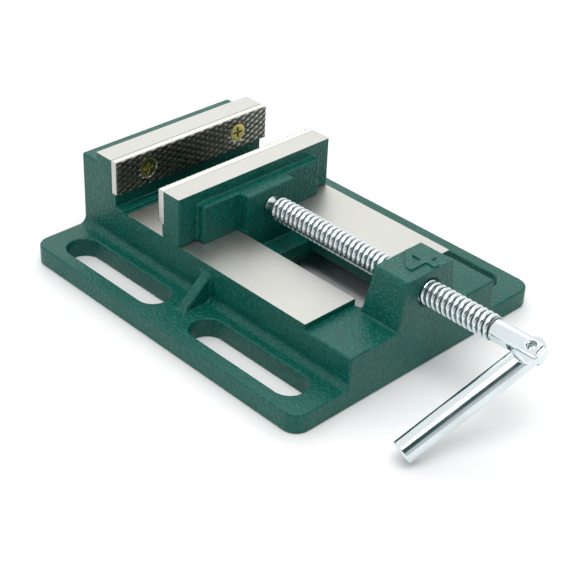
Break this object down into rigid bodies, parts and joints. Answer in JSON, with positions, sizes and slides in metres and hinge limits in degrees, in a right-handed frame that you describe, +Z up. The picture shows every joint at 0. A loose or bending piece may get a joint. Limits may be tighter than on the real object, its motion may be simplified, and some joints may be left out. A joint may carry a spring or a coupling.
{
  "type": "machine vise",
  "caption": "Drill-press vise: slotted cast base with ground ways, fixed jaw, sliding jaw on a lead screw, knurled jaw plates and a folding handle in the forked screw end.",
  "frame": {"origin": "centre of the base casting's footprint, on the plane it rests on", "axes": "+Z up, +Y along the lead screw from the handle toward the fixed jaw, +X to the right seen from the handle end"},
  "size_m": [0.162, 0.2544, 0.0563],
  "materials": {
    "green_paint": "textured hammer paint on cast iron, ground on the ways and jaw tops",
    "ground_steel": "ground, knurled on the grip faces",
    "yellow_zinc": "yellow zinc plated steel",
    "bright_zinc": "bright blue-white zinc plated steel",
    "black_steel": "black oxide"
  },
  "bodies": {
    "base": {"base_casting": "green_paint", "fixed_jaw_plate": "ground_steel", "fixed_plate_screws": "yellow_zinc"},
    "moving_jaw": {"moving_jaw_casting": "green_paint", "moving_jaw_plate": "ground_steel", "moving_plate_screws": "yellow_zinc", "keeper_plate": "green_paint", "keeper_screws": "black_steel", "screw_retaining_pins": "ground_steel"},
    "screw": {"lead_screw": "bright_zinc", "handle_pin": "bright_zinc"},
    "handle": {"handle_bar": "bright_zinc"}
  },
  "joints": [
    {"name": "jaw_slide", "type": "slide", "parent": "base", "child": "moving_jaw", "axis": [0, 1, 0], "range_m": [-0.063, 0.0315]},
    {"name": "screw_turn", "type": "hinge", "parent": "moving_jaw", "child": "screw", "pos_m": [0, 0, 0.0408], "axis": [0, 1, 0], "range_deg": [-7560, 3780]},
    {"name": "handle_fold", "type": "hinge", "parent": "screw", "child": "handle", "pos_m": [0, -0.1537, 0.0408], "axis": [-0.515, 0, 0.8572], "range_deg": [0, 210]}
  ],
  "couplings": [
    {"joint": "jaw_slide", "follows": "screw_turn", "m_per_rad": 0.00047746}
  ]
}
